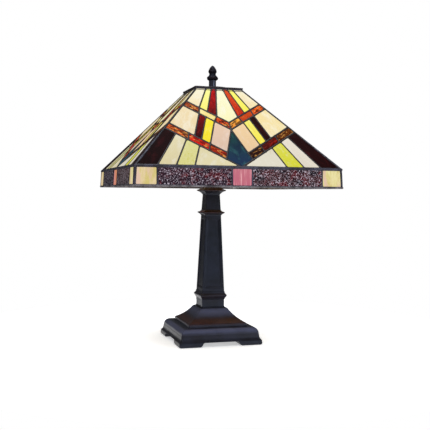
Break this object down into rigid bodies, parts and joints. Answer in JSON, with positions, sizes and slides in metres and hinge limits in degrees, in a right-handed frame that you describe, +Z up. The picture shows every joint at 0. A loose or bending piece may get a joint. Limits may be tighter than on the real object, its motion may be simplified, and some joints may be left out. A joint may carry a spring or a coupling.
{
  "type": "stained glass table lamp",
  "caption": "Table lamp with a square leaded glass shade of banded chevron panels and a skirt, pine-cone finial, tapered square column and stepped footed base.",
  "frame": {"origin": "centre of the base on the surface the lamp stands on", "axes": "+Z up along the lamp rod, -Y towards the front panel, +X to the right seen from the front; the bulb stands at +X of the rod"},
  "size_m": [0.3048, 0.3048, 0.4267],
  "materials": {
    "bronze_finish": "satin black bronze with rubbed brown edges",
    "lead_solder": "dark patinated solder",
    "glass_cream": "opalescent cream",
    "glass_peach": "opalescent peach",
    "glass_beige": "opalescent beige",
    "glass_yellow": "opalescent bright yellow",
    "glass_lime": "opalescent yellow green",
    "glass_red": "deep red",
    "glass_orange": "streaky orange red",
    "glass_maroon": "near black maroon",
    "glass_teal": "dark blue green",
    "glass_amber": "mottled amber and brown",
    "glass_ripple": "hammered dark purple grey",
    "glass_tile_cream": "streaky pale yellow",
    "glass_tile_pink": "streaky pink",
    "felt_rubber": "matte",
    "bushing_plastic": "matte black",
    "ballast_iron": "rough",
    "cover_steel": "black paint",
    "zinc_steel": "zinc plated",
    "socket_brass": "satin brass",
    "sleeve_paper": "vulcanised fibre",
    "core_plastic": "phenolic",
    "contact_aluminium": "bright",
    "bulb_glass": "frosted",
    "filament_steel": "fine wire"
  },
  "bodies": {
    "stand": {"base_casting": "bronze_finish", "bracket_feet": "bronze_finish", "plinth_block": "bronze_finish", "lower_ring": "bronze_finish", "tapered_shaft": "bronze_finish", "upper_ring": "bronze_finish", "column_neck": "bronze_finish", "capital": "bronze_finish", "column_cap": "bronze_finish", "foot_pads": "felt_rubber", "cord_bushing": "bushing_plastic", "base_ballast": "ballast_iron", "bottom_cover": "cover_steel", "cover_screws": "zinc_steel", "lamp_rod": "zinc_steel", "pipe_nuts": "zinc_steel", "rod_foot_washer": "zinc_steel", "socket_bracket": "zinc_steel", "socket_nipple": "zinc_steel", "socket_cap": "socket_brass", "socket_shell": "socket_brass", "socket_sleeve": "sleeve_paper", "socket_core": "core_plastic", "screw_shell": "contact_aluminium", "centre_contact": "socket_brass"},
    "switch": {"switch_knob": "core_plastic"},
    "bulb": {"bulb_base": "contact_aluminium", "bulb_glass": "bulb_glass", "bulb_filament": "filament_steel"},
    "shade_seat": {"shade_seat_washer": "socket_brass"},
    "shade": {"glass_cream": "glass_cream", "glass_peach": "glass_peach", "glass_beige": "glass_beige", "glass_yellow": "glass_yellow", "glass_lime": "glass_lime", "glass_red": "glass_red", "glass_orange": "glass_orange", "glass_maroon": "glass_maroon", "glass_teal": "glass_teal", "glass_amber": "glass_amber", "glass_ripple": "glass_ripple", "glass_tile_cream": "glass_tile_cream", "glass_tile_pink": "glass_tile_pink", "panel_lead_front": "lead_solder", "panel_lead_right": "lead_solder", "panel_lead_back": "lead_solder", "panel_lead_left": "lead_solder", "skirt_lead_front": "lead_solder", "skirt_lead_right": "lead_solder", "skirt_lead_back": "lead_solder", "skirt_lead_left": "lead_solder", "hip_leads": "lead_solder", "shoulder_lead": "lead_solder", "corner_leads": "lead_solder", "rim_band": "lead_solder", "top_frame": "lead_solder", "cap_plate": "bronze_finish", "cap_disc": "bronze_finish"},
    "finial": {"finial_riser": "bronze_finish", "finial_cone": "bronze_finish"}
  },
  "joints": [
    {"name": "shade_turn", "type": "hinge", "parent": "stand", "child": "shade_seat", "pos_m": [0, 0, 0.3857], "axis": [0, 0, 1], "continuous": true},
    {"name": "shade_lift", "type": "slide", "parent": "shade_seat", "child": "shade", "axis": [0, 0, 1], "range_m": [0, 0.18]},
    {"name": "finial_unscrew", "type": "hinge", "parent": "shade", "child": "finial", "pos_m": [0, 0, 0.3917], "axis": [0, 0, 1], "continuous": true},
    {"name": "bulb_unscrew", "type": "hinge", "parent": "stand", "child": "bulb", "pos_m": [0.036, 0, 0.285], "axis": [0, 0, 1], "continuous": true},
    {"name": "switch_turn", "type": "hinge", "parent": "stand", "child": "switch", "pos_m": [0.06, 0, 0.2655], "axis": [1, 0, 0], "continuous": true}
  ]
}
